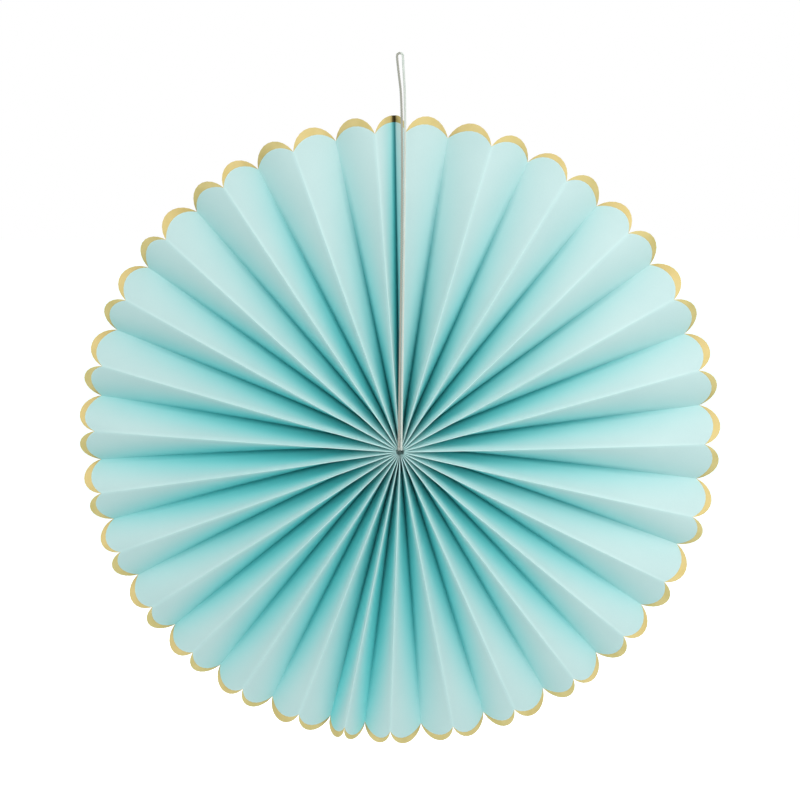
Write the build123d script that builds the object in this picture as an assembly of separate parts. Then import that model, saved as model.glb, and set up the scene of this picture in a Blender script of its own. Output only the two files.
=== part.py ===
from build123d import *

import math
import os

# A paper fan rosette: one paper strip, folded like an accordion, gathered at its middle and
# fanned into a full circle, with a scalloped rim and a doubled cord to hang it by.
#
# Sizes are in millimetres and angles in degrees. The rosette hangs in the XZ plane and faces -Y.
# The origin is inside the top of the hanging loop. Clock angles run clockwise from the top, seen
# from the front, and a height is a distance in front of the paper's middle plane.

# Pleated paper
ROSETTE_RADIUS = 125.0  # hub axis to the crest of a scallop
SCALLOP_RISE = 6.5  # crest of a scallop over the notches beside it
RIM_DEPTH = 7.0  # ridge to valley at the notches
PAPER_THICKNESS = 0.25
FACETS_PER_HALF = 28  # each half of the strip fans over about half of the circle
TOP_SEAM_ANGLE = -0.9  # clock angle of the glued seam behind the cord
BOTTOM_SEAM_ANGLE = 187.1  # clock angle of the other glued seam
TOP_RIGHT_OPENING = 0.24  # opening of the half facet right of the top seam, as a share of a free one
TOP_LEFT_OPENING = 0.47  # the same left of the top seam
BOTTOM_RIGHT_OPENING = 0.79  # the same of the facet right of the bottom seam
BOTTOM_LEFT_OPENING = 0.65  # the same left of the bottom seam
PINCHED_OPENING = 0.51  # the same of the next facet on the left, which is creased tighter
TOP_SPREAD = 0.11  # how much wider the facets open near the top seam than on average
LEFT_SPREAD = 0.05  # how much wider the left half opens near its two seams than on average
END_DEPTH_SHARE = 0.5  # depth of the half facets, as a share of a whole one's
FOLD_SPANS = 10  # straight spans of a fold, from the hole to the notch
HUB_CROWDING = 1.5  # over 1, the spans shorten towards the hub

# Hanging cord and its knot
CORD_DIAMETER = 0.9
STRAND_GAP = 0.1  # between the two strands at the hub
LOOP_WIDTH = 2.1  # between the strands' centres at the top of the loop
LOOP_RISE = 20.0  # inside top of the loop over the crest of the rim
HUB_BEND_RADIUS = 0.9  # of a strand, round the edge of the hole
BIGHT_SHARE = 0.45  # radius of the loop's two corners, as a share of its width
CORD_CLEARANCE = 0.3  # strands to the ridges at the hub
HOLE_CLEARANCE = 0.65  # strands to the wall of the hole, if they ran through its middle
HOLE_PLAY = 0.1  # strands to the top of the hole, which hangs on them
KNOT_OVERLAP = 0.9  # reach of the knot past the wall of the hole
KNOT_LENGTH = 4.5
KNOT_BEVEL = 1.2
KNOT_CLEARANCE = 0.2  # knot to the folds behind the hub


def facet_angles(start, end, start_spread, seam_spread, tight):
    """Opening angles of the facets in one half, between its two seams."""
    shares = []
    for index in range(FACETS_PER_HALF):
        along = (index + 0.5) / FACETS_PER_HALF
        slope = start_spread * (1 - 2 * along)
        swell = seam_spread * math.cos(2 * math.pi * along)
        shares.append(1 + slope + swell)
    for index, opening in tight.items():
        shares[index] *= opening
    unit = (end - start) / sum(shares)
    return [unit * share for share in shares]


def chord(angle, radius):
    """Distance between two folds at a distance from the hub axis."""
    return 2 * radius * math.sin(math.radians(angle / 2))


# A facet runs from the fold of its own number to the next one. The first and the last are the ends
# of the strip, cut through the middle of a scallop, and meet at the top seam.
RIGHT_TIGHT = {0: TOP_RIGHT_OPENING, -1: BOTTOM_RIGHT_OPENING}
LEFT_TIGHT = {0: BOTTOM_LEFT_OPENING, 1: PINCHED_OPENING, -1: TOP_LEFT_OPENING}
FACET_ANGLES = facet_angles(TOP_SEAM_ANGLE, BOTTOM_SEAM_ANGLE, TOP_SPREAD, 0, RIGHT_TIGHT)
FACET_ANGLES += facet_angles(
    BOTTOM_SEAM_ANGLE, TOP_SEAM_ANGLE + 360, -TOP_SPREAD, LEFT_SPREAD, LEFT_TIGHT
)
FOLD_COUNT = len(FACET_ANGLES)
MEAN_ANGLE = 360 / FOLD_COUNT
NOTCH_RADIUS = ROSETTE_RADIUS - SCALLOP_RISE
FACET_WIDTH = math.hypot(chord(MEAN_ANGLE, NOTCH_RADIUS), RIM_DEPTH)

STRAND_OFFSET = (CORD_DIAMETER + STRAND_GAP) / 2
HOLE_RADIUS = STRAND_OFFSET + CORD_DIAMETER / 2 + HOLE_CLEARANCE
HUB_HEIGHT = (FACET_WIDTH + PAPER_THICKNESS) / 2
HUB_Y = HUB_HEIGHT + CORD_CLEARANCE + CORD_DIAMETER / 2
HUB_Z = -LOOP_RISE - ROSETTE_RADIUS
CORD_LIFT = math.sqrt((STRAND_OFFSET + HOLE_CLEARANCE - HOLE_PLAY) ** 2 - STRAND_OFFSET**2)
CORD_Z = HUB_Z + CORD_LIFT


def rosette_point(clock_angle, radius, height):
    """A point by its clock angle, its distance from the hub axis and its height."""
    turn = math.radians(clock_angle)
    return Vector(radius * math.sin(turn), HUB_Y - height, HUB_Z + radius * math.cos(turn))


def pleat_depth(facet, radius):
    """Ridge to valley of a facet: a mean one has the same flat width from the hub to the rim."""
    depth = math.sqrt(FACET_WIDTH**2 - chord(MEAN_ANGLE, radius) ** 2)
    is_end = facet % FOLD_COUNT in (0, FOLD_COUNT - 1)
    return depth * END_DEPTH_SHARE if is_end else depth


def fold_heights(index, radius):
    """Heights of the paper's front and back on one fold. Even folds are valleys."""
    facets = (index - 1, index)
    step = sum(chord(FACET_ANGLES[facet], radius) for facet in facets) / 2
    rise = sum(pleat_depth(facet, radius) for facet in facets) / 2
    ridge = pleat_depth(FACETS_PER_HALF, radius) / 2
    valley = ridge - rise
    # Round the hub the sheet measures more than its thickness where the facet leans, and the
    # inside of a fold fills up where the facets lie close together.
    leaning = PAPER_THICKNESS * math.hypot(step, rise) / rise
    outside = PAPER_THICKNESS / 2
    inside = (leaning * (rise + outside) - step * outside) / (step + leaning)
    if index % 2:
        return ridge + outside, ridge - inside
    return valley + inside, valley - outside


def fold_lines(index):
    """Front and back corner points of one fold, from the hole to the notch in the rim."""
    clock_angle = TOP_SEAM_ANGLE + sum(FACET_ANGLES[:index])
    front = []
    back = []
    for station in range(FOLD_SPANS + 1):
        share = (station / FOLD_SPANS) ** HUB_CROWDING
        radius = HOLE_RADIUS + share * (NOTCH_RADIUS - HOLE_RADIUS)
        front_height, back_height = fold_heights(index, radius)
        front.append(rosette_point(clock_angle, radius, front_height))
        back.append(rosette_point(clock_angle, radius, back_height))
    return front, back


def flat_face(*corners):
    """A flat face between its corner points."""
    return Face(Wire.make_polygon(corners))


def twisted_strip(ridge, valley):
    """One side of a facet, which twists from the hub to the rim: two flat faces in each span."""
    faces = []
    for inner in range(FOLD_SPANS):
        outer = inner + 1
        faces.append(flat_face(ridge[inner], ridge[outer], valley[outer]))
        faces.append(flat_face(ridge[inner], valley[outer], valley[inner]))
    return faces


def away_from_hub(point):
    """Direction from the hub axis to a point."""
    return Vector(point.X, 0, point.Z - HUB_Z).normalized()


def scallop(ridge_notch, valley_notch):
    """Outline of the rounded end of a facet, in the plane of its outer edge and away from the hub."""
    middle = (ridge_notch + valley_notch) / 2
    crest = middle + away_from_hub(middle) * SCALLOP_RISE
    arc = Edge.make_three_point_arc(ridge_notch, crest, valley_notch)
    return [arc, Edge.make_line(valley_notch, ridge_notch)]


def half_scallop(ridge_notch, seam_notch):
    """The same on an end of the strip: the arc stops at its crest, in the seam."""
    outward = away_from_hub(seam_notch)
    width = (ridge_notch - seam_notch).length
    radius = (width**2 + SCALLOP_RISE**2) / (2 * SCALLOP_RISE)
    shoulder_rise = math.sqrt(radius**2 - width**2 / 4) - radius + SCALLOP_RISE
    shoulder = (ridge_notch + seam_notch) / 2 + outward * shoulder_rise
    crest = seam_notch + outward * SCALLOP_RISE
    arc = Edge.make_three_point_arc(ridge_notch, shoulder, crest)
    return [arc, Edge.make_line(crest, seam_notch), Edge.make_line(seam_notch, ridge_notch)]


def facet_faces(ridge, valley, make_outline=scallop):
    """All outer faces of one facet: both sides, the scallop and the inner end at the hole."""
    faces = []
    arcs = []
    for ridge_line, valley_line in zip(ridge, valley):
        faces += twisted_strip(ridge_line, valley_line)
        outline = make_outline(ridge_line[-1], valley_line[-1])
        faces.append(Face(Wire(outline)))
        arcs.append(outline[0])
    faces.append(Face.make_surface_from_curves(*arcs))
    ridge_front, ridge_back = ridge
    valley_front, valley_back = valley
    faces.append(flat_face(ridge_front[0], valley_front[0], valley_back[0], ridge_back[0]))
    return faces


def make_pleated_paper():
    """The folded sheet: ridges and valleys in turn, each facet meeting the next at its fold."""
    folds = [fold_lines(index) for index in range(FOLD_COUNT)]
    faces = facet_faces(folds[1], folds[0], half_scallop)
    for valley in range(2, FOLD_COUNT, 2):
        faces += facet_faces(folds[valley - 1], folds[valley])
        faces += facet_faces(folds[valley + 1], folds[valley])
    faces += facet_faces(folds[-1], folds[0], half_scallop)
    return Solid(Shell(faces))


def make_hanging_cord(knot_y):
    """One string from the knot through the hole, up to the loop and back down beside itself."""
    top = CORD_DIAMETER / 2
    bend = LOOP_WIDTH / 2
    route = [
        (-STRAND_OFFSET, knot_y, CORD_Z),
        (-STRAND_OFFSET, 0, CORD_Z),
        (-bend, 0, top),
        (bend, 0, top),
        (STRAND_OFFSET, 0, CORD_Z),
        (STRAND_OFFSET, knot_y, CORD_Z),
    ]
    bight = BIGHT_SHARE * LOOP_WIDTH
    radii = [HUB_BEND_RADIUS, bight, bight, HUB_BEND_RADIUS]
    path = FilletPolyline(*route, radius=radii)
    print("cord radii", [round(radius, 3) for radius in radii])
    cord = sweep(Plane(route[0], z_dir=(0, -1, 0)) * Circle(CORD_DIAMETER / 2), path=path)
    section = math.pi * CORD_DIAMETER**2 / 4
    print("cord length", round(path.length, 2), "volume", round(cord.volume, 3))
    print("section times length", round(section * path.length, 3))
    return cord


def make_cord_knot(knot_y):
    """The knot behind the hub, wider than the hole, with its front face against the folds."""
    place = Plane((0, knot_y, CORD_Z), z_dir=(0, 1, 0))
    knot = extrude(place * Circle(HOLE_RADIUS + KNOT_OVERLAP), KNOT_LENGTH)
    return chamfer(knot.edges().filter_by(GeomType.CIRCLE), KNOT_BEVEL)


knot_front_y = HUB_Y + HUB_HEIGHT + KNOT_CLEARANCE
parts = {
    "pleated_paper": make_pleated_paper(),
    "hanging_cord": make_hanging_cord(knot_front_y),
    "cord_knot": make_cord_knot(knot_front_y),
}

os.makedirs("parts", exist_ok=True)
for name, part in parts.items():
    export_step(part, f"parts/{name}.step")
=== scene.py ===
import math
import random
from collections import namedtuple

import bpy
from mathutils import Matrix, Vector


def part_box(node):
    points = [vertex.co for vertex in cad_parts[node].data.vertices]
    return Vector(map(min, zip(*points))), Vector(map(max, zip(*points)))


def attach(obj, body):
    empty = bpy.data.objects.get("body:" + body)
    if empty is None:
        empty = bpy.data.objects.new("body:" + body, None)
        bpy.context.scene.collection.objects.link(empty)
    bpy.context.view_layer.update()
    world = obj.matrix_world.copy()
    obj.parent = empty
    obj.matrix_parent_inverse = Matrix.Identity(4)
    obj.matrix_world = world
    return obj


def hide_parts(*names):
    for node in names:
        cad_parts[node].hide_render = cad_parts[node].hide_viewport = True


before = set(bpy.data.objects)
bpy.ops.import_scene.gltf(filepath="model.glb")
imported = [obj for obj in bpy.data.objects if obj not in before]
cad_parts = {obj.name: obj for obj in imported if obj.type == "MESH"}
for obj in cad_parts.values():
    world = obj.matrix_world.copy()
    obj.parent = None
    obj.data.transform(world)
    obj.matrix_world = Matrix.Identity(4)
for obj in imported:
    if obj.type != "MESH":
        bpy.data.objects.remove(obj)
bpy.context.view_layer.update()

# A paper fan rosette, hung by a doubled cord.
#
# Sizes are in millimetres and angles in degrees, as in the part's source, and points become metres
# where they are made. Clock angles run clockwise from the top, seen from the front, and a height is a
# distance in front of the paper's middle plane.
MM = 0.001

# Pleated paper
ROSETTE_RADIUS = 125.0  # hub axis to the crest of a scallop
SCALLOP_RISE = 6.5  # crest of a scallop over the notches beside it
RIM_DEPTH = 7.0  # ridge to valley at the notches
PAPER_THICKNESS = 0.25
FACETS_PER_HALF = 28
TOP_SEAM_ANGLE = -0.9  # clock angle of the glued seam behind the cord
BOTTOM_SEAM_ANGLE = 187.1
TOP_RIGHT_OPENING = 0.24  # opening of the half facet right of the top seam, as a share of a free one
TOP_LEFT_OPENING = 0.47  # the same left of the top seam
BOTTOM_RIGHT_OPENING = 0.79  # the same of the facet right of the bottom seam
BOTTOM_LEFT_OPENING = 0.65  # the same left of the bottom seam
PINCHED_OPENING = 0.51  # the same of the next facet on the left, which is creased tighter
TOP_SPREAD = 0.11  # how much wider the facets open near the top seam than on average
LEFT_SPREAD = 0.05  # how much wider the left half opens near its two seams than on average
END_DEPTH_SHARE = 0.5  # depth of the half facets at the top seam, as a share of a whole one's
HOLE_RADIUS = 1.6

# Mesh of the paper
ROWS = 28  # from the hole to the notches
HUB_CROWDING = 1.35  # over 1, the rows crowd towards the hub
FLAT_COLUMNS = 12  # on the flat of a facet
FOLD_COLUMNS = (0.0, 0.5, 0.87, 1.0)  # round a fold, as shares of its half width
FOLD_LIMIT = 0.3  # half width of a fold at most, as a share of its facet's width
TONGUE_ROWS = 3  # in each of the plain and the foiled part of a scallop
POINT_DIGITS = 8  # decimals of a metre to which two points are one
SHARP_ANGLE = 50.0  # between faces, from where an edge is shaded sharp
PAPER_SLOT = 0
FOIL_SLOT = 1

# Gold foil on the scallops
FOIL_WIDTH = 2.45  # at the crest of a scallop
FOIL_WIDTH_SPREAD = 0.5
FOIL_SKEW = 0.35  # how unevenly the foil sits on its scallop
FOIL_START_LIMIT = 0.92  # where the foil begins at the latest, as a share of the scallop's height

# Unevenness of hand folding
ANGLE_JITTER = 0.25
HEIGHT_JITTER = 0.35
BULGE = 1.1  # of a facet at the notches, towards the front
BULGE_JITTER = 0.35
BULGE_GROWTH = 1.5  # over 1, a facet bulges mostly close to the rim
HUB_WANDER = 1.6  # of the folds close to the hub
HUB_WANDER_REACH = 12.0
SEED = 11

# Marks along the folds: positive for the pale line along a ridge, partly wear and partly painted
# highlight, negative for painted shade inside a fold and painted shadow at the top seam
RIDGE_WEAR_AND_HIGHLIGHT_WIDTH = 0.95  # of the pale line along a ridge, partly wear and partly painted highlight
WEAR_AND_HIGHLIGHT_LOSS = 0.6  # how much weaker that line is at the rim than at the hub
CREASE_SHADE_LINE_SHARE = 0.13  # width of the painted shade line inside a fold, as a share of its facet's width
CREASE_SHADE_FADE = 2.5  # how close to the rim the painted shade line fades
LEFT_SEAM_SHADOW_WIDTH = 0.9  # of the painted shadow line on the half facet left of the top seam
RIGHT_SEAM_SHADOW_WIDTH = 0.3  # the same right of the seam
SEAM_SHADOW_MARK = 2.0  # strength of the painted shadow at the top seam, over the painted shade inside another fold
MARK_START = 0.1  # marks weaker than this aren't seen

# Painted shade inside the pleats, which deepens the paper's colour where a pleat is deep and narrow
PLEAT_SHADE_REACH = 0.95  # depth of a point over its facet's width, where the painted shade has mostly deepened
PLEAT_SHADE_RISE = 1.6  # how late in the pleat the painted shade deepens
CLOSING_SHADE = 3.0  # how much more painted shade the narrower facets get
CLOSING_SHADE_LIMIT = 1.4
LEFT_END_SHADE = 0.7  # how much more painted shadow the half facet left of the top seam gets, beside it
RIGHT_END_SHADE = -0.5  # the same right of the seam, where it is negative and so paints light

# Hanging cord
CORD_DIAMETER = 0.9
STRAND_GAP = 0.1  # between the two strands at the hub
LOOP_WIDTH = 2.1  # between the strands' centres at the top of the loop
LOOP_RISE = 20.0  # inside top of the loop over the crest of the rim
CORD_CLEARANCE = 0.3  # strands to the ridges at the hub
HUB_RUN = 2.4  # from the edge of the hole to the points that keep the cord tight round it
LOOP_RUN = LOOP_WIDTH  # from the loop's corners to the points below them
RIM_OFFSET = 0.45  # of a strand where it passes the rim, close beside the other
RIM_LEAN = 1.7  # of both strands to the right, where they pass the rim
ROUTE_RESOLUTION = 64  # points of the smooth line for each point of the route
ROUTE_STEP = 0.3  # between the rings of a ply
PLIES = 3
PLY_SHARE = 0.27  # radius of one ply, as a share of the cord's diameter
PLY_SIDES = 6
TWIST_PITCH = 2.6  # length of one turn of a ply

# Knot behind the hub
KNOT_SEAT = 0.25  # nearer the hub than the plain solid, tight on the pleats
KNOT_REACH = 1.45  # of the winding line, from the knot's middle
KNOT_DEPTH = 1.75  # half of that line's depth
KNOT_STEPS = 120
KNOT_SIDES = 10
TAIL_START = (0.6, 0.8, -1.0)  # of the right cut end, from the knot's middle
TAIL_LENGTH = 6.5
TAIL_SPREAD = 1.6  # of a cut end, sideways
TAIL_LEAN = 0.5  # of a cut end, towards the paper
TAIL_STEPS = 14

# Colours and finishes. A share says how far a colour goes over the one below it.
PAPER_COLOURS = ((0.66, 0.82, 0.815), (0.695, 0.845, 0.835))
FLECK_COLOUR = (0.75, 0.89, 0.88)
FLECK_SHARE = 0.16
# painted shade inside the pleats
PLEAT_SHADE_COLOUR = (0.22, 0.77, 0.78)
# painted shade along the inside of a fold
CREASE_SHADE_COLOUR = (0.03, 0.40, 0.42)
CREASE_SHADE_SHARE = 0.75
# painted shadow at the top seam
SEAM_SHADOW_COLOUR = (0.02, 0.10, 0.13)
SEAM_SHADOW_SHARE = 0.5
# pale line along a ridge: partly wear, partly painted highlight
WORN_AND_HIGHLIGHT_COLOUR = (0.80, 0.99, 0.98)
WORN_AND_HIGHLIGHT_SHARE = 0.95
PAPER_ROUGHNESS = (0.44, 0.54)
PAPER_SPECULAR = 0.75
FOIL_COLOURS = ((0.52, 0.425, 0.175), (0.64, 0.535, 0.26))
# painted shadow on the foil at the top seam
FOIL_SEAM_SHADOW_COLOUR = (0.05, 0.04, 0.015)
FOIL_SEAM_SHADOW_SHARE = 0.9
FOIL_ROUGHNESS = (0.58, 0.70)
STRING_COLOURS = ((0.90, 0.86, 0.79), (0.97, 0.94, 0.88))
LEFT_STRAND_COLOUR = (0.38, 0.31, 0.25)
LEFT_STRAND_SHARE = 0.75
STREAK_COLOUR = (0.58, 0.53, 0.47)
STREAK_SHARE = 0.35
STRING_ROUGHNESS = 0.85
STRING_SHEEN = 0.2

# Noise in the materials: waves to a metre, and the span of its values that is used
PAPER_CLOUDS = 45
PAPER_GRAIN = 1400
FOIL_PATCHES = 160
FOIL_GRAIN = 1800
STRING_PATCHES = 120
STRING_FIBRE = 4000
NOISE_SPAN = (0.3, 0.7)
FLECK_SPAN = (0.35, 0.75)
STREAK_SPAN = (0.35, 0.7)

# Stage, light and camera
WHITE = (1.0, 1.0, 1.0)
FLOOR_SIZE = 60000.0
FLOOR_DROP = 400.0  # floor below the hub
FLOOR_COLOUR = (0.88, 0.88, 0.88)
FLOOR_ROUGHNESS = 0.9
FLOOR_SPECULAR = 0.1
FLOOR_WHITE = 0.78  # white that the camera sees on the floor, besides the lamps' light
WORLD_LIGHT = 0.40  # strength of the light all round
WORLD_COLOUR = (0.6, 1.0, 1.0)
LAMP_COLOUR = (1.0, 0.94, 0.93)
VIEW_DISTANCE = 416.0  # camera to the hub
VIEW_ELEVATION = 12.0  # above the hub's level
PIXELS_PER_MM = 2.55  # at the hub
FRAME_PIXELS = 800
FRAME_RISE = 0.06  # shift that centres the loop and the rim in the frame
SENSOR_WIDTH = 36.0
CLIP_START = 10.0  # nearest that the camera sees

random.seed(SEED)


def facet_angles(start, end, start_spread, seam_spread, tight):
    """Opening angles of the facets in one half, between its two seams."""
    shares = []
    for index in range(FACETS_PER_HALF):
        along = (index + 0.5) / FACETS_PER_HALF
        slope = start_spread * (1 - 2 * along)
        swell = seam_spread * math.cos(2 * math.pi * along)
        shares.append(1 + slope + swell)
    for index, opening in tight.items():
        shares[index] *= opening
    unit = (end - start) / sum(shares)
    return [unit * share for share in shares]


def chord(angle, radius):
    """Distance between two folds at a distance from the hub axis."""
    return 2 * radius * math.sin(math.radians(angle / 2))


# A facet runs from the fold of its own number to the next one. The first and the last are the ends
# of the strip, cut through the middle of a scallop, and meet at the top seam.
RIGHT_TIGHT = {0: TOP_RIGHT_OPENING, -1: BOTTOM_RIGHT_OPENING}
LEFT_TIGHT = {0: BOTTOM_LEFT_OPENING, 1: PINCHED_OPENING, -1: TOP_LEFT_OPENING}
EVEN_ANGLES = facet_angles(TOP_SEAM_ANGLE, BOTTOM_SEAM_ANGLE, TOP_SPREAD, 0, RIGHT_TIGHT)
EVEN_ANGLES += facet_angles(BOTTOM_SEAM_ANGLE, TOP_SEAM_ANGLE + 360, -TOP_SPREAD, LEFT_SPREAD, LEFT_TIGHT)
FOLD_COUNT = len(EVEN_ANGLES)
MEAN_ANGLE = 360 / FOLD_COUNT
LAST_FACET = FOLD_COUNT - 1
END_SHADES = {0: RIGHT_END_SHADE, LAST_FACET: LEFT_END_SHADE}
SEAM_SHADOW_WIDTHS = {0: RIGHT_SEAM_SHADOW_WIDTH, LAST_FACET: LEFT_SEAM_SHADOW_WIDTH}
NOTCH_RADIUS = ROSETTE_RADIUS - SCALLOP_RISE
FACET_WIDTH = math.hypot(chord(MEAN_ANGLE, NOTCH_RADIUS), RIM_DEPTH)
STRAND_OFFSET = (CORD_DIAMETER + STRAND_GAP) / 2
HUB_Y = (FACET_WIDTH + PAPER_THICKNESS) / 2 + CORD_CLEARANCE + CORD_DIAMETER / 2
HUB_Z = -LOOP_RISE - ROSETTE_RADIUS
HUB = Vector((0, HUB_Y, HUB_Z)) * MM
KNOT_LOW, KNOT_HIGH = (Vector(corner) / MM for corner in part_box("cord_knot"))
KNOT_CENTRE = (KNOT_LOW + KNOT_HIGH) / 2 - Vector((0, KNOT_SEAT, 0))
CORD_Z = (KNOT_LOW.z + KNOT_HIGH.z) / 2


def jitter(size):
    """A random amount up to a size, either way."""
    return random.uniform(-size, size)


def fold_clock_angles():
    """Clock angle of each fold, a little uneven between the seams."""
    angles = []
    clock = TOP_SEAM_ANGLE
    for index, opening in enumerate(EVEN_ANGLES):
        at_seam = index in (0, FACETS_PER_HALF)
        angles.append(clock + (0 if at_seam else jitter(ANGLE_JITTER)))
        clock += opening
    return angles


CLOCK_ANGLES = fold_clock_angles()
FOLD_LIFTS = [jitter(HEIGHT_JITTER) for fold in range(FOLD_COUNT)]
WANDERS = [jitter(HUB_WANDER) for fold in range(FOLD_COUNT)]


def clock_angle(fold, radius):
    """Clock angle of a fold, which wanders a little close to the hub."""
    return CLOCK_ANGLES[fold] + WANDERS[fold] * math.exp(-radius / HUB_WANDER_REACH)


def facet_beside(ridge, side):
    """Number of the facet clockwise of a ridge, for side 1, or the other way, for side -1."""
    return ridge if side > 0 else ridge - 1


def facet_opening(facet, radius):
    """Angle between the two folds of a facet."""
    following = (facet + 1) % FOLD_COUNT
    turn = 360 if following == 0 else 0
    return clock_angle(following, radius) + turn - clock_angle(facet, radius)


def rosette_point(clock, radius, height):
    """A point in metres by its clock angle, its distance from the hub axis and its height."""
    turn = math.radians(clock)
    x = radius * math.sin(turn)
    z = HUB_Z + radius * math.cos(turn)
    return Vector((x * MM, (HUB_Y - height) * MM, z * MM))


def pleat_depth(facet, radius):
    """Ridge to valley of a facet: a mean one has the same flat width from the hub to the rim."""
    depth = math.sqrt(FACET_WIDTH**2 - chord(MEAN_ANGLE, radius) ** 2)
    return depth * END_DEPTH_SHARE if facet in (0, LAST_FACET) else depth


def fold_section(fold, radius):
    """Height of a fold's middle, and how far the paper fills the inside of it. Even folds are valleys."""
    facets = ((fold - 1) % FOLD_COUNT, fold)
    step = sum(chord(facet_opening(facet, radius), radius) for facet in facets) / 2
    rise = sum(pleat_depth(facet, radius) for facet in facets) / 2
    ridge = pleat_depth(FACETS_PER_HALF, radius) / 2
    lift = FOLD_LIFTS[fold] * (radius / NOTCH_RADIUS) ** 2
    middle = (ridge if fold % 2 else ridge - rise) + lift
    leaning = PAPER_THICKNESS * math.hypot(step, rise) / rise
    half = PAPER_THICKNESS / 2
    inside = (leaning * (rise + half) - step * half) / (step + leaning)
    return middle, inside


# Pleated paper

# A point of the sheet: where it lies, how far across its facet, and its two marks: one along the folds
# for worn paper, painted highlight and painted shade, and one for painted shade in the pleats
SheetPoint = namedtuple("SheetPoint", "clock height across crease tone")


class PaperMesh:
    """Points, faces and their marks while the sheet is put together."""

    def __init__(self):
        self.points = []
        self.creases = []
        self.painted_pleat_shades = []
        self.index_of = {}
        self.faces = []
        self.slots = []

    def point(self, place, crease, tone):
        """Index of the point at a place, which keeps the marks that it is first given."""
        key = tuple(round(value, POINT_DIGITS) for value in place)
        if key not in self.index_of:
            self.index_of[key] = len(self.points)
            self.points.append(place)
            self.creases.append(crease)
            self.painted_pleat_shades.append(tone)
        return self.index_of[key]

    def strip(self, first, second, slot, turned):
        """Faces between two lines of points, which may be turned over."""
        for column in range(len(first) - 1):
            corners = [first[column], first[column + 1], second[column + 1], second[column]]
            if turned:
                corners.reverse()
            distinct = list(dict.fromkeys(corners))
            if len(distinct) > 2:
                self.faces.append(distinct)
                self.slots.append(slot)


def facet_columns(step, tangent):
    """Places across a facet, from its ridge to its valley, with more of them round the two folds."""
    columns = [share * tangent for share in FOLD_COLUMNS]
    flat = step - 2 * tangent
    for column in range(1, FLAT_COLUMNS):
        share = (1 - math.cos(math.pi * column / FLAT_COLUMNS)) / 2
        columns.append(tangent + flat * share)
    columns += [step - share * tangent for share in reversed(FOLD_COLUMNS)]
    return columns


def side_height(across, step, tangent, fold_middle, other_crease, half):
    """Height of one side of the sheet, from its outer fold to the crease inside the other fold.

    half is half of the thickness, and is negative on the back."""
    sign = 1 if half > 0 else -1
    if across <= tangent:
        return fold_middle + sign * math.sqrt(max(half**2 - across**2, 0))
    start = fold_middle + sign * math.sqrt(max(half**2 - tangent**2, 0))
    return start + (other_crease - start) * (across - tangent) / (step - tangent)


def pleat_shade_amount(depth, step):
    """Painted shade at a point: nothing on the outer fold, and most where its pleat is deep and narrow.
    """
    return 1 - math.exp(-((max(depth, 0) / step / PLEAT_SHADE_REACH) ** PLEAT_SHADE_RISE))


def crease_mark(from_outer, wear_and_highlight_strength, from_inner, line_width, fade):
    """Positive along the outside of a fold, where it is rubbed pale and given a painted highlight, and
    negative along the inside of one, for painted shade.
    """
    wear_and_highlight = wear_and_highlight_strength * math.exp(-((from_outer / RIDGE_WEAR_AND_HIGHLIGHT_WIDTH) ** 2))
    return wear_and_highlight - fade * math.exp(-((from_inner / line_width) ** 2))


def facet_row(ridge, valley, side, radius, bulge):
    """Points across the front and the back of a facet, at one distance from the hub axis.

    The facet's width is given too, as it is seen and along the paper."""
    facet = facet_beside(ridge, side)
    opening = facet_opening(facet, radius)
    step = chord(opening, radius)
    half = PAPER_THICKNESS / 2
    ridge_middle, ridge_inside = fold_section(ridge, radius)
    valley_middle, valley_inside = fold_section(valley, radius)
    rise = ridge_middle - valley_middle
    tangent = min(half * rise / math.hypot(rise, step), FOLD_LIMIT * step)
    is_end = valley == 0
    closing = 1 if is_end else min((MEAN_ANGLE / opening) ** CLOSING_SHADE, CLOSING_SHADE_LIMIT)
    end_shade = END_SHADES.get(facet, 0)
    # strength of the ridge line of wear and painted highlight, weaker towards the rim
    wear_and_highlight_strength = 1 - WEAR_AND_HIGHLIGHT_LOSS * radius / NOTCH_RADIUS
    # painted shade inside the fold, fading towards the rim; at the top seam the stronger painted shadow
    fade = 1 - (radius / NOTCH_RADIUS) ** CREASE_SHADE_FADE
    front_fade = SEAM_SHADOW_MARK if is_end else fade
    line_width = CREASE_SHADE_LINE_SHARE * step
    front_line_width = SEAM_SHADOW_WIDTHS.get(facet, line_width)
    front_crease = valley_middle + valley_inside
    back_crease = ridge_middle - ridge_inside
    front = []
    back = []
    for across in facet_columns(step, tangent):
        share = across / step
        rest = step - across
        belly = 4 * share * (1 - share) * bulge * (radius / NOTCH_RADIUS) ** BULGE_GROWTH
        clock = clock_angle(ridge, radius) + side * opening * share
        front_height = side_height(across, step, tangent, ridge_middle, front_crease, half)
        back_height = side_height(rest, step, tangent, valley_middle, back_crease, -half)
        front_depth = ridge_middle + half - front_height - belly
        back_depth = back_height + belly - valley_middle + half
        # painted shade inside the pleat, with painted shadow left of the top seam and painted light right
        # of it
        front_pleat_shade = pleat_shade_amount(closing * front_depth, step) + end_shade * share**2
        front_pleat_shade = min(max(front_pleat_shade, 0), 1)
        back_pleat_shade = pleat_shade_amount(closing * back_depth, step)
        # wear and painted highlight on the ridge, painted shade inside the fold
        front_mark = crease_mark(across, wear_and_highlight_strength, rest, front_line_width, front_fade)
        back_mark = crease_mark(rest, wear_and_highlight_strength, across, line_width, fade)
        front.append(SheetPoint(clock, front_height + belly, across, front_mark, front_pleat_shade))
        back.append(SheetPoint(clock, back_height + belly, across, back_mark, back_pleat_shade))
    return front, back, step, math.hypot(rise, step)


def arc_height(along, width, rise):
    """Height of a round arc over its chord, at a distance from the chord's middle."""
    radius = (width**2 / 4 + rise**2) / (2 * rise)
    return math.sqrt(max(radius**2 - along**2, 0)) - (radius - rise)


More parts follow.
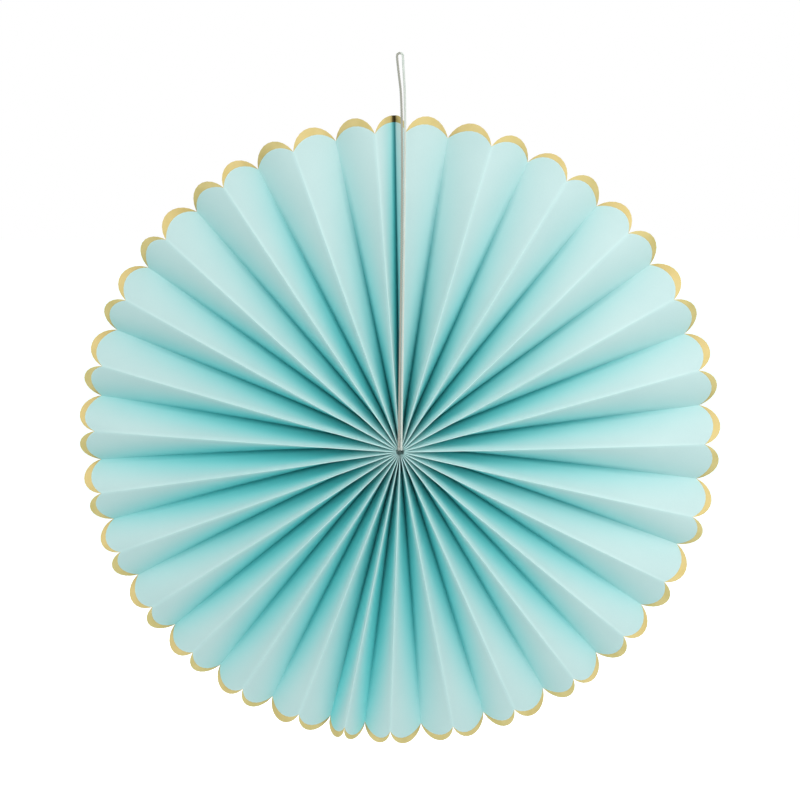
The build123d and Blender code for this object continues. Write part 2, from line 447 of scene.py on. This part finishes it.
def scallop_rows(width, crest, foil_width, skew, shares):
    """Reach of each mesh row past the notches, for each column across the facet.

    crest is the place of the scallop's top across the facet, from its ridge to its valley."""
    full_width = 2 * crest * width
    rows = []
    for row in range(1, 2 * TONGUE_ROWS + 1):
        reaches = []
        for share in shares:
            along = (share - crest) * width
            outer = arc_height(along, full_width, SCALLOP_RISE)
            inner = arc_height(along, full_width, SCALLOP_RISE - foil_width)
            inner *= 1 + skew * along / full_width
            inner = max(min(inner, FOIL_START_LIMIT * outer), 0)
            if row <= TONGUE_ROWS:
                reaches.append(inner * row / TONGUE_ROWS)
            else:
                reaches.append(inner + (outer - inner) * (row - TONGUE_ROWS) / TONGUE_ROWS)
        rows.append(reaches)
    return rows


def add_scallop(sheet, grids, ridge, side, is_end, width, shares):
    """Carries both sides of a facet on from its notches to the edge of its scallop."""
    crest = 1.0 if is_end else 0.5
    opening = facet_opening(facet_beside(ridge, side), NOTCH_RADIUS)
    turn = math.radians(clock_angle(ridge, NOTCH_RADIUS) + side * opening * crest)
    outward = Vector((math.sin(turn), 0, math.cos(turn)))
    foil_width = FOIL_WIDTH + (0 if is_end else jitter(FOIL_WIDTH_SPREAD))
    skew = 0 if is_end else jitter(FOIL_SKEW)
    rows = scallop_rows(width, crest, foil_width, skew, shares)
    for grid in grids:
        notch_line = grid[-1]
        for reaches in rows:
            line = []
            for index, reach in zip(notch_line, reaches):
                place = sheet.points[index] + outward * reach * MM
                # the painted shadow at the top seam runs on over the foil
                crease = min(sheet.creases[index], 0) if is_end else 0
                line.append(sheet.point(place, crease, sheet.painted_pleat_shades[index]))
            grid.append(line)


def add_facet(sheet, ridge, valley, side):
    """One facet with its scallop: both sides, the cut edge and the inner end at the hole."""
    is_end = valley == 0
    bulge = (BULGE + jitter(BULGE_JITTER)) * (END_DEPTH_SHARE if is_end else 1)
    grids = ([], [])
    for row in range(ROWS + 1):
        reach = (row / ROWS) ** HUB_CROWDING
        radius = HOLE_RADIUS + reach * (NOTCH_RADIUS - HOLE_RADIUS)
        front, back, step, width = facet_row(ridge, valley, side, radius, bulge)
        for grid, section in zip(grids, (front, back)):
            line = []
            for spot in section:
                place = rosette_point(spot.clock, radius, spot.height)
                line.append(sheet.point(place, spot.crease, spot.tone))
            grid.append(line)
    shares = [spot.across / step for spot in front]
    add_scallop(sheet, grids, ridge, side, is_end, width, shares)
    front_grid, back_grid = grids
    for grid, turned in ((front_grid, side > 0), (back_grid, side < 0)):
        for row in range(len(grid) - 1):
            slot = FOIL_SLOT if row >= ROWS + TONGUE_ROWS else PAPER_SLOT
            sheet.strip(grid[row], grid[row + 1], slot, turned)
    sheet.strip(front_grid[-1], back_grid[-1], FOIL_SLOT, side > 0)
    sheet.strip(front_grid[0], back_grid[0], PAPER_SLOT, side < 0)


def mark_points(mesh, name, values):
    """Gives each point of a mesh a number, which its material reads."""
    mark = mesh.attributes.new(name, "FLOAT", "POINT")
    mark.data.foreach_set("value", values)


def make_paper(paper, foil):
    """The folded sheet, with its foiled scallops."""
    sheet = PaperMesh()
    for ridge in reversed(range(1, FOLD_COUNT, 2)):
        add_facet(sheet, ridge, ridge - 1, -1)
        add_facet(sheet, ridge, (ridge + 1) % FOLD_COUNT, 1)
    mesh = bpy.data.meshes.new("paper_rosette")
    mesh.from_pydata(sheet.points, [], sheet.faces)
    mesh.materials.append(paper)
    mesh.materials.append(foil)
    mesh.polygons.foreach_set("material_index", sheet.slots)
    # wear and painted light along the folds, and painted shade in the pleats, for the material
    mark_points(mesh, "crease", sheet.creases)
    mark_points(mesh, "tone", sheet.painted_pleat_shades)
    mesh.shade_smooth()
    mesh.set_sharp_from_angle(angle=math.radians(SHARP_ANGLE))
    mesh.update()
    rosette = bpy.data.objects.new("paper_rosette", mesh)
    bpy.context.scene.collection.objects.link(rosette)
    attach(rosette, "root")
    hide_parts("pleated_paper")


# Materials


def new_material(name):
    """A material with its node tree and its shader."""
    material = bpy.data.materials.new(name)
    material.use_nodes = True
    tree = material.node_tree
    return material, tree, tree.nodes["Principled BSDF"]


def noise(tree, coordinates, scale, detail=2.0):
    """Noise that stays fixed on the object."""
    texture = tree.nodes.new("ShaderNodeTexNoise")
    texture.inputs["Scale"].default_value = scale
    texture.inputs["Detail"].default_value = detail
    tree.links.new(coordinates.outputs["Object"], texture.inputs["Vector"])
    return texture.outputs["Fac"]


def colour_socket(sockets, name):
    """The colour socket of that name, on a node that has one for each type of value."""
    return next(socket for socket in sockets if socket.name == name and socket.type == "RGBA")


def blend(tree, factor, first, second):
    """A colour between two, each a colour or the output of another node."""
    mix = tree.nodes.new("ShaderNodeMix")
    mix.data_type = "RGBA"
    tree.links.new(factor, mix.inputs["Factor"])
    for name, colour in (("A", first), ("B", second)):
        socket = colour_socket(mix.inputs, name)
        if isinstance(colour, tuple):
            socket.default_value = (*colour, 1)
        else:
            tree.links.new(colour, socket)
    return colour_socket(mix.outputs, "Result")


def ramp(tree, value, span, result=(0.0, 1.0)):
    """A value that goes evenly over the result's span, as another one goes over its own."""
    node = tree.nodes.new("ShaderNodeMapRange")
    node.inputs["From Min"].default_value = span[0]
    node.inputs["From Max"].default_value = span[1]
    node.inputs["To Min"].default_value = result[0]
    node.inputs["To Max"].default_value = result[1]
    tree.links.new(value, node.inputs["Value"])
    return node.outputs["Result"]


def point_mark(tree, name):
    """The number that each point of the mesh was given."""
    node = tree.nodes.new("ShaderNodeAttribute")
    node.attribute_name = name
    return node.outputs["Fac"]


def add_bump(tree, shader, height, strength, distance):
    """Fine relief in the surface."""
    bump = tree.nodes.new("ShaderNodeBump")
    bump.inputs["Strength"].default_value = strength
    bump.inputs["Distance"].default_value = distance * MM
    tree.links.new(height, bump.inputs["Height"])
    tree.links.new(bump.outputs["Normal"], shader.inputs["Normal"])


def make_paper_material():
    """Aqua paper with a fine grain, with painted shade inside the pleats and the folds, painted shadow
    where the strip's ends meet at the top, and a pale ridge line that is partly rubbed paper and partly
    painted highlight.
    """
    material, tree, shader = new_material("aqua_paper")
    coordinates = tree.nodes.new("ShaderNodeTexCoord")
    clouds = noise(tree, coordinates, PAPER_CLOUDS, detail=3)
    grain = noise(tree, coordinates, PAPER_GRAIN, detail=3)
    mark = point_mark(tree, "crease")
    flecks = ramp(tree, grain, FLECK_SPAN, (0, FLECK_SHARE))
    # painted shade along the inside of each fold
    inner = ramp(tree, mark, (-MARK_START, -1), (0, CREASE_SHADE_SHARE))
    # painted shadow at the top seam
    painted_seam_shadow = ramp(tree, mark, (-1, -SEAM_SHADOW_MARK), (0, SEAM_SHADOW_SHARE))
    # wear and painted highlight along each ridge
    wear_and_highlight = ramp(tree, mark, (MARK_START, 1), (0, WORN_AND_HIGHLIGHT_SHARE))
    base = blend(tree, ramp(tree, clouds, NOISE_SPAN), *PAPER_COLOURS)
    base = blend(tree, flecks, base, FLECK_COLOUR)
    # painted shade inside the pleats
    base = blend(tree, point_mark(tree, "tone"), base, PLEAT_SHADE_COLOUR)
    base = blend(tree, inner, base, CREASE_SHADE_COLOUR)
    base = blend(tree, painted_seam_shadow, base, SEAM_SHADOW_COLOUR)
    base = blend(tree, wear_and_highlight, base, WORN_AND_HIGHLIGHT_COLOUR)
    tree.links.new(base, shader.inputs["Base Color"])
    tree.links.new(ramp(tree, grain, NOISE_SPAN, PAPER_ROUGHNESS), shader.inputs["Roughness"])
    shader.inputs["Specular IOR Level"].default_value = PAPER_SPECULAR
    add_bump(tree, shader, grain, strength=0.12, distance=0.2)
    return material


def make_foil_material():
    """Gold foil, pressed on the paper and a little uneven, with painted shadow where the strip's ends
    meet at the top.
    """
    material, tree, shader = new_material("gold_foil")
    coordinates = tree.nodes.new("ShaderNodeTexCoord")
    patches = noise(tree, coordinates, FOIL_PATCHES)
    grain = noise(tree, coordinates, FOIL_GRAIN)
    # painted shadow on the foil at the top seam
    painted_seam_shadow = ramp(tree, point_mark(tree, "crease"), (-MARK_START, -1), (0, FOIL_SEAM_SHADOW_SHARE))
    base = blend(tree, ramp(tree, patches, NOISE_SPAN), *FOIL_COLOURS)
    base = blend(tree, painted_seam_shadow, base, FOIL_SEAM_SHADOW_COLOUR)
    tree.links.new(base, shader.inputs["Base Color"])
    tree.links.new(ramp(tree, patches, NOISE_SPAN, FOIL_ROUGHNESS), shader.inputs["Roughness"])
    shader.inputs["Metallic"].default_value = 1.0
    add_bump(tree, shader, grain, strength=0.15, distance=0.2)
    return material


def make_string_material():
    """Pale twisted string with a little fluff, greyer along its left strand."""
    material, tree, shader = new_material("cotton_string")
    coordinates = tree.nodes.new("ShaderNodeTexCoord")
    fibre = noise(tree, coordinates, STRING_FIBRE)
    patches = noise(tree, coordinates, STRING_PATCHES)
    greyer = ramp(tree, point_mark(tree, "left_strand"), (0, 1), (0, LEFT_STRAND_SHARE))
    streaks = ramp(tree, fibre, STREAK_SPAN, (0, STREAK_SHARE))
    base = blend(tree, ramp(tree, patches, NOISE_SPAN), *STRING_COLOURS)
    base = blend(tree, greyer, base, LEFT_STRAND_COLOUR)
    base = blend(tree, streaks, base, STREAK_COLOUR)
    tree.links.new(base, shader.inputs["Base Color"])
    shader.inputs["Roughness"].default_value = STRING_ROUGHNESS
    shader.inputs["Sheen Weight"].default_value = STRING_SHEEN
    add_bump(tree, shader, fibre, strength=0.3, distance=0.1)
    return material


# Hanging cord and its knot


def strand(side):
    """Points of one strand, from the knot up to the loop.

    They are the points of the part's source, with points that keep the cord tight at its bends and
    one that leads it past the rim as in the photograph."""
    hub_x = side * STRAND_OFFSET
    loop_x = side * LOOP_WIDTH / 2
    top = CORD_DIAMETER / 2
    return [
        (hub_x, KNOT_LOW.y, CORD_Z),
        (hub_x, HUB_RUN, CORD_Z),
        (hub_x, 0, CORD_Z),
        (hub_x, 0, CORD_Z + HUB_RUN),
        (RIM_LEAN + side * RIM_OFFSET, 0, -LOOP_RISE),
        (loop_x, 0, top - LOOP_RUN),
        (loop_x, 0, top),
    ]


def route_line():
    """Points along the cord's smooth line, in metres."""
    route = strand(-1) + strand(1)[::-1]
    curve = bpy.data.curves.new("cord_route", "CURVE")
    curve.dimensions = "3D"
    curve.resolution_u = ROUTE_RESOLUTION
    spline = curve.splines.new("NURBS")
    spline.points.add(len(route) - 1)
    for point, place in zip(spline.points, route):
        point.co = (place[0] * MM, place[1] * MM, place[2] * MM, 1)
    spline.order_u = 3
    spline.use_endpoint_u = True
    holder = bpy.data.objects.new("cord_route", curve)
    bpy.context.scene.collection.objects.link(holder)
    line = bpy.data.meshes.new_from_object(holder)
    points = [vertex.co.copy() for vertex in line.vertices]
    bpy.data.objects.remove(holder)
    bpy.data.meshes.remove(line)
    return points


def even_steps(points, step):
    """Points at even steps along a line of points."""
    places = [points[0]]
    left = step
    for start, end in zip(points, points[1:]):
        run = (end - start).length
        direction = (end - start) / run if run else Vector()
        at = left
        while at < run:
            places.append(start + direction * at)
            at += step
        left = at - run
    places.append(points[-1])
    return places


def round_ring(middle, first, second, radius, sides):
    """A ring of points in the plane of two directions."""
    ring = []
    for side in range(sides):
        around = 2 * math.pi * side / sides
        ring.append(middle + (first * math.cos(around) + second * math.sin(around)) * radius)
    return ring


def ply_rings(line, phase):
    """Rings of points of one ply, which winds round the line."""
    helix = CORD_DIAMETER * (0.5 - PLY_SHARE) * MM
    radius = CORD_DIAMETER * PLY_SHARE * MM
    rings = []
    normal = Vector((1, 0, 0))
    travelled = 0.0
    for index, place in enumerate(line):
        ahead = line[min(index + 1, len(line) - 1)] - line[max(index - 1, 0)]
        tangent = ahead.normalized()
        normal = (normal - tangent * normal.dot(tangent)).normalized()
        other = tangent.cross(normal)
        if index:
            travelled += (place - line[index - 1]).length
        turn = phase + 2 * math.pi * travelled / (TWIST_PITCH * MM)
        centre = place + (normal * math.cos(turn) + other * math.sin(turn)) * helix
        rings.append(round_ring(centre, normal, other, radius, PLY_SIDES))
    return rings


def knot_rings():
    """Rings of the two strands, which lie side by side along one closed overhand turn."""
    line = []
    for step in range(KNOT_STEPS):
        turn = 2 * math.pi * step / KNOT_STEPS
        x = KNOT_REACH * (math.sin(turn) + 2 * math.sin(2 * turn)) / 3
        y = -KNOT_DEPTH * math.sin(3 * turn)
        z = KNOT_REACH * (math.cos(turn) - 2 * math.cos(2 * turn)) / 3
        line.append(KNOT_CENTRE + Vector((x, y, z)))
    radius = CORD_DIAMETER / 2
    strands = ([], [])
    for index in range(KNOT_STEPS + 1):
        place = line[index % KNOT_STEPS]
        tangent = (line[(index + 1) % KNOT_STEPS] - line[index - 1]).normalized()
        outward = place - KNOT_CENTRE
        outward = (outward - tangent * outward.dot(tangent)).normalized()
        sideways = tangent.cross(outward)
        for rings, side in zip(strands, (-1, 1)):
            middle = (place + sideways * side * radius) * MM
            rings.append(round_ring(middle, outward, sideways, radius * MM, KNOT_SIDES))
    return strands


def tail_rings(side):
    """Rings of one cut end, which leaves the knot and hangs behind the hub."""
    start_x, start_y, start_z = TAIL_START
    start = KNOT_CENTRE + Vector((side * start_x, start_y, start_z))
    radius = CORD_DIAMETER / 2 * MM
    rings = []
    for step in range(TAIL_STEPS + 1):
        share = step / TAIL_STEPS
        spread = side * TAIL_SPREAD * math.sin(share * math.pi / 2)
        middle = start + Vector((spread, -TAIL_LEAN * share, -TAIL_LENGTH * share))
        rings.append(round_ring(middle * MM, Vector((1, 0, 0)), Vector((0, 1, 0)), radius, KNOT_SIDES))
    return rings


def tube_mesh(name, ring_sets, material):
    """A piece of closed tubes, each a list of rings."""
    points = []
    faces = []
    for rings in ring_sets:
        base = len(points)
        sides = len(rings[0])
        for ring in rings:
            points += ring
        for row in range(len(rings) - 1):
            for side in range(sides):
                beside = (side + 1) % sides
                first = base + row * sides
                faces.append((first + side, first + beside, first + sides + beside, first + sides + side))
        faces.append(tuple(base + side for side in reversed(range(sides))))
        last = base + (len(rings) - 1) * sides
        faces.append(tuple(last + side for side in range(sides)))
    mesh = bpy.data.meshes.new(name)
    mesh.from_pydata(points, [], faces)
    mesh.materials.append(material)
    mesh.shade_smooth()
    mesh.update()
    piece = bpy.data.objects.new(name, mesh)
    bpy.context.scene.collection.objects.link(piece)
    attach(piece, "root")
    return piece


def make_knot(material):
    """The knot behind the hub: the doubled string pulled tight in an overhand turn, with its two ends."""
    knot = tube_mesh("string_knot", [*knot_rings(), tail_rings(-1), tail_rings(1)], material)
    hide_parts("cord_knot")
    return knot


def mark_left_strand(cord, ring_sets):
    """Marks the points of the route's first half, which is the left strand."""
    values = []
    for rings in ring_sets:
        for index in range(len(rings)):
            values += [1.0 if index < len(rings) / 2 else 0.0] * PLY_SIDES
    mark_points(cord.data, "left_strand", values)


def make_cord(material, knot):
    """The string itself: twisted plies along the route."""
    points = route_line()
    line = even_steps(points, ROUTE_STEP * MM)
    ring_sets = [ply_rings(line, 2 * math.pi * ply / PLIES) for ply in range(PLIES)]
    cord = tube_mesh("hanging_string", ring_sets, material)
    mark_left_strand(cord, ring_sets)
    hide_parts("hanging_cord")


# Stage, light and camera


def seen_directly(tree):
    """1 for what the camera, a mirror or glass sees of a surface, and 0 for the light that it gives."""
    path = tree.nodes.new("ShaderNodeLightPath")
    seen = path.outputs["Is Camera Ray"]
    for name in ("Is Glossy Ray", "Is Transmission Ray"):
        either = tree.nodes.new("ShaderNodeMath")
        either.operation = "MAXIMUM"
        tree.links.new(seen, either.inputs[0])
        tree.links.new(path.outputs[name], either.inputs[1])
        seen = either.outputs["Value"]
    return seen


def make_floor():
    """A plain pale floor, lit up to white where it is looked at."""
    material, tree, shader = new_material("pale_floor")
    shader.inputs["Base Color"].default_value = (*FLOOR_COLOUR, 1)
    shader.inputs["Roughness"].default_value = FLOOR_ROUGHNESS
    shader.inputs["Specular IOR Level"].default_value = FLOOR_SPECULAR
    glow = tree.nodes.new("ShaderNodeEmission")
    strength = ramp(tree, seen_directly(tree), (0, 1), (0, FLOOR_WHITE))
    tree.links.new(strength, glow.inputs["Strength"])
    both = tree.nodes.new("ShaderNodeAddShader")
    tree.links.new(shader.outputs["BSDF"], both.inputs[0])
    tree.links.new(glow.outputs["Emission"], both.inputs[1])
    tree.links.new(both.outputs["Shader"], tree.nodes["Material Output"].inputs["Surface"])
    place = (0, 0, (HUB_Z - FLOOR_DROP) * MM)
    bpy.ops.mesh.primitive_plane_add(size=FLOOR_SIZE * MM, location=place)
    floor = bpy.context.object
    floor.name = "floor"
    floor.data.materials.append(material)


def make_world():
    """Soft light all round, and plain white for the camera and for mirrors."""
    world = bpy.data.worlds.new("studio")
    bpy.context.scene.world = world
    world.use_nodes = True
    tree = world.node_tree
    background = tree.nodes["Background"]
    seen = seen_directly(tree)
    strength = ramp(tree, seen, (0, 1), (WORLD_LIGHT, 1))
    tree.links.new(strength, background.inputs["Strength"])
    tree.links.new(blend(tree, seen, WORLD_COLOUR, WHITE), background.inputs["Color"])


def place_facing_hub(holder, offset):
    """Puts a lamp or the camera at a place seen from the hub, turned to the hub."""
    holder.location = HUB + offset
    holder.rotation_euler = (-offset).to_track_quat("-Z", "Y").to_euler()
    bpy.context.scene.collection.objects.link(holder)


def make_lamp(name, offset, size, power, colour):
    """A square soft lamp, by its place from the hub, its side and its power in watts."""
    lamp = bpy.data.lights.new(name, "AREA")
    lamp.size = size * MM
    lamp.energy = power
    lamp.color = colour
    place_facing_hub(bpy.data.objects.new(name, lamp), Vector(offset) * MM)


def make_camera():
    """Looks down at the hub from close by, as the photograph does."""
    camera = bpy.data.cameras.new("camera")
    camera.sensor_width = SENSOR_WIDTH
    camera.lens = SENSOR_WIDTH * PIXELS_PER_MM * VIEW_DISTANCE / FRAME_PIXELS
    camera.shift_y = FRAME_RISE
    camera.clip_start = CLIP_START * MM
    holder = bpy.data.objects.new("camera", camera)
    tilt = math.radians(VIEW_ELEVATION)
    place_facing_hub(holder, Vector((0, -math.cos(tilt), math.sin(tilt))) * VIEW_DISTANCE * MM)
    bpy.context.scene.camera = holder


make_paper(make_paper_material(), make_foil_material())
string_material = make_string_material()
make_cord(string_material, make_knot(string_material))
make_floor()
make_world()
make_lamp("key", offset=(205, -300, 130), size=480, power=0.84, colour=LAMP_COLOUR)
make_lamp("fill", offset=(-600, -800, 800), size=900, power=4.2, colour=LAMP_COLOUR)
make_lamp("rear", offset=(-350, 700, 450), size=700, power=4.0, colour=WHITE)
make_camera()
bpy.context.scene.view_settings.view_transform = "Standard"
